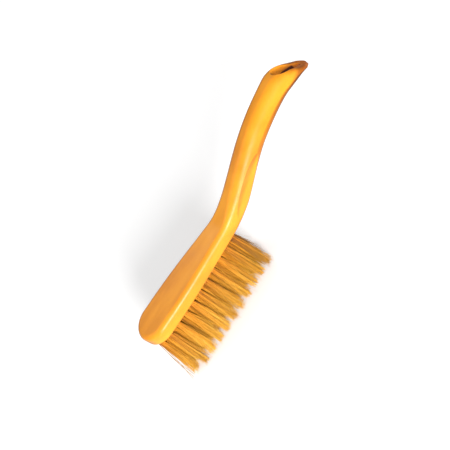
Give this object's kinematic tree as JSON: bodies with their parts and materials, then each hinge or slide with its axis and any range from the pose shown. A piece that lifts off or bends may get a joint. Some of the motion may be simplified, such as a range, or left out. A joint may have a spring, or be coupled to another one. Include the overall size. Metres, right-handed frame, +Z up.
{
  "type": "hand brush",
  "caption": "One-piece moulded hand brush with a raised curved handle, an elongated hanging hole and rows of flared bristle tufts held by wire anchors.",
  "frame": {"origin": "on the plane of the bristle tips, directly below the middle of the tufted face of the head", "axes": "+X from the toe of the head to the handle end, +Z up and away from the bristle tips, +Y across to the left"},
  "size_m": [0.3067, 0.057, 0.1146],
  "materials": {
    "block_plastic": "glossy moulded orange-yellow plastic",
    "bristle": "fine amber synthetic filament, trimmed ends",
    "anchor_wire": "flat drawn wire"
  },
  "bodies": {
    "root": {"brush_block": "block_plastic", "wire_anchors": "anchor_wire", "tuft_right_outer_01": "bristle", "tuft_right_outer_02": "bristle", "tuft_right_outer_03": "bristle", "tuft_right_outer_04": "bristle", "tuft_right_outer_05": "bristle", "tuft_right_outer_06": "bristle", "tuft_right_outer_07": "bristle", "tuft_right_outer_08": "bristle", "tuft_right_outer_09": "bristle", "tuft_right_outer_10": "bristle", "tuft_right_outer_11": "bristle", "tuft_right_inner_01": "bristle", "tuft_right_inner_02": "bristle", "tuft_right_inner_03": "bristle", "tuft_right_inner_04": "bristle", "tuft_right_inner_05": "bristle", "tuft_right_inner_06": "bristle", "tuft_right_inner_07": "bristle", "tuft_right_inner_08": "bristle", "tuft_right_inner_09": "bristle", "tuft_right_inner_10": "bristle", "tuft_centre_01": "bristle", "tuft_centre_02": "bristle", "tuft_centre_03": "bristle", "tuft_centre_04": "bristle", "tuft_centre_05": "bristle", "tuft_centre_06": "bristle", "tuft_centre_07": "bristle", "tuft_centre_08": "bristle", "tuft_centre_09": "bristle", "tuft_centre_10": "bristle", "tuft_centre_11": "bristle", "tuft_left_inner_01": "bristle", "tuft_left_inner_02": "bristle", "tuft_left_inner_03": "bristle", "tuft_left_inner_04": "bristle", "tuft_left_inner_05": "bristle", "tuft_left_inner_06": "bristle", "tuft_left_inner_07": "bristle", "tuft_left_inner_08": "bristle", "tuft_left_inner_09": "bristle", "tuft_left_inner_10": "bristle", "tuft_left_outer_01": "bristle", "tuft_left_outer_02": "bristle", "tuft_left_outer_03": "bristle", "tuft_left_outer_04": "bristle", "tuft_left_outer_05": "bristle", "tuft_left_outer_06": "bristle", "tuft_left_outer_07": "bristle", "tuft_left_outer_08": "bristle", "tuft_left_outer_09": "bristle", "tuft_left_outer_10": "bristle", "tuft_left_outer_11": "bristle"}
  },
  "joints": []
}
